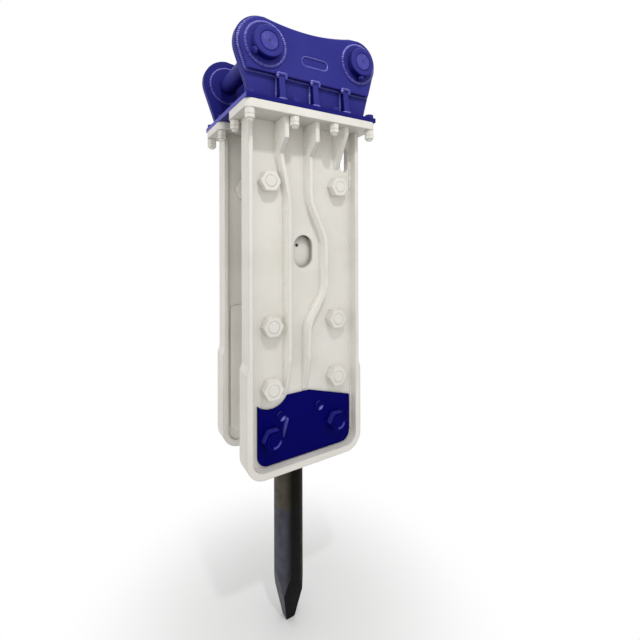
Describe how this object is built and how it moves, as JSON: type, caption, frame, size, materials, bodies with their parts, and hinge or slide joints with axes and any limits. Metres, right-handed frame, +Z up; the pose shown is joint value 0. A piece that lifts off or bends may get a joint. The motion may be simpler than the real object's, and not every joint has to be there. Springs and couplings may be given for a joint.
{
  "type": "hydraulic breaker hammer",
  "caption": "Pin-on hydraulic breaker hammer: two bolted side plates hold a power cell with a striking piston and a sliding moil point, under a bracket with two mounting pins.",
  "frame": {"origin": "centre of the stick pin, halfway between the two ears", "axes": "+Z up along the tool, +Y along the pins to the rear plate, +X from the stick pin to the link pin"},
  "size_m": [0.697, 0.622, 2.773],
  "materials": {
    "blue_paint": "semi-gloss blue paint",
    "panel_blue": "semi-gloss dark blue paint",
    "white_paint": "semi-gloss warm white paint",
    "bare_steel": "machined",
    "tool_steel": "black heat-treated tool steel",
    "seal_rubber": "matte",
    "brass": "turned"
  },
  "bodies": {
    "housing": {"bracket_base_plate": "blue_paint", "front_ear": "blue_paint", "rear_ear": "blue_paint", "front_ear_doubler": "blue_paint", "rear_ear_doubler": "blue_paint", "front_pin_collars": "blue_paint", "rear_pin_collars": "blue_paint", "inner_pin_rings": "blue_paint", "ear_gussets": "blue_paint", "pin_lock_bolts": "blue_paint", "flange_bolts": "blue_paint", "flange_nuts": "white_paint", "flange_lock_nuts": "white_paint", "front_side_plate": "white_paint", "rear_side_plate": "white_paint", "guide_pads": "white_paint", "front_wear_plate": "panel_blue", "rear_wear_plate": "panel_blue", "side_bolts": "white_paint", "side_nuts": "white_paint", "wear_plate_nuts": "panel_blue", "inner_nuts": "white_paint", "back_head": "white_paint", "cylinder_block": "white_paint", "front_head": "white_paint", "tie_rods": "bare_steel", "tie_rod_nuts": "bare_steel", "upper_tool_bush": "bare_steel", "lower_tool_bush": "bare_steel", "tool_retainer_pins": "bare_steel", "retainer_plugs": "seal_rubber", "tool_dust_seal": "seal_rubber", "seal_retainer": "bare_steel", "piston_seals": "seal_rubber", "valve_housing": "white_paint", "valve_sleeve": "bare_steel", "valve_cap": "white_paint", "valve_bolts": "bare_steel", "inlet_adapter": "bare_steel", "outlet_adapter": "bare_steel", "gas_valve": "brass", "gas_valve_cap": "brass", "grease_nipple": "brass"},
    "tool": {"chisel": "tool_steel"},
    "piston": {"piston": "bare_steel"},
    "valve_spool": {"valve_spool": "bare_steel"},
    "stick_pin": {"stick_pin": "blue_paint"},
    "link_pin": {"link_pin": "blue_paint"}
  },
  "joints": [
    {"name": "tool_slide", "type": "slide", "parent": "housing", "child": "tool", "axis": [0, 0, 1], "range_m": [0, 0.06]},
    {"name": "piston_stroke", "type": "slide", "parent": "housing", "child": "piston", "axis": [0, 0, 1], "range_m": [0, 0.13]},
    {"name": "spool_shift", "type": "slide", "parent": "housing", "child": "valve_spool", "axis": [0, 0, 1], "range_m": [0, 0.018]},
    {"name": "stick_pin_pull", "type": "slide", "parent": "housing", "child": "stick_pin", "axis": [0, -1, 0], "range_m": [0, 0.62]},
    {"name": "link_pin_pull", "type": "slide", "parent": "housing", "child": "link_pin", "axis": [0, -1, 0], "range_m": [0, 0.62]}
  ]
}
